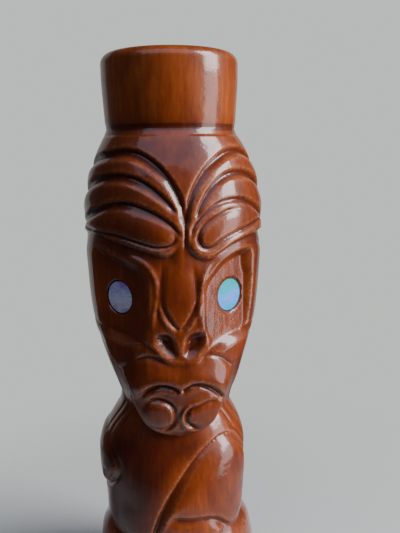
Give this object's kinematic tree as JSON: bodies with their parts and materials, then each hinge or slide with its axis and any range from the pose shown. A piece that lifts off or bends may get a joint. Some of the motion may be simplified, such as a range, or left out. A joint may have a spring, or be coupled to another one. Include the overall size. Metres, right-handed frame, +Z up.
{
  "type": "carved wooden tiki mug",
  "caption": "Upright carved wooden figure with a plain round collar, bored from the top as a drinking cup, with round shell inlays for eyes and a flat round foot.",
  "frame": {"origin": "centre of the flat underside of the foot, on the surface the mug stands on", "axes": "+Z up along the bore's axis, -Y out of the carved face, +X to the right when looking at the face"},
  "size_m": [0.0882, 0.0858, 0.282],
  "materials": {
    "lacquered_wood": "gloss lacquer over red-brown stain",
    "shell": "polished iridescent shell",
    "setting_pitch": "dark satin pitch"
  },
  "bodies": {
    "root": {"carved_body": "lacquered_wood", "left_eye_inlay": "shell", "right_eye_inlay": "shell", "left_eye_bed": "setting_pitch", "right_eye_bed": "setting_pitch"}
  },
  "joints": []
}
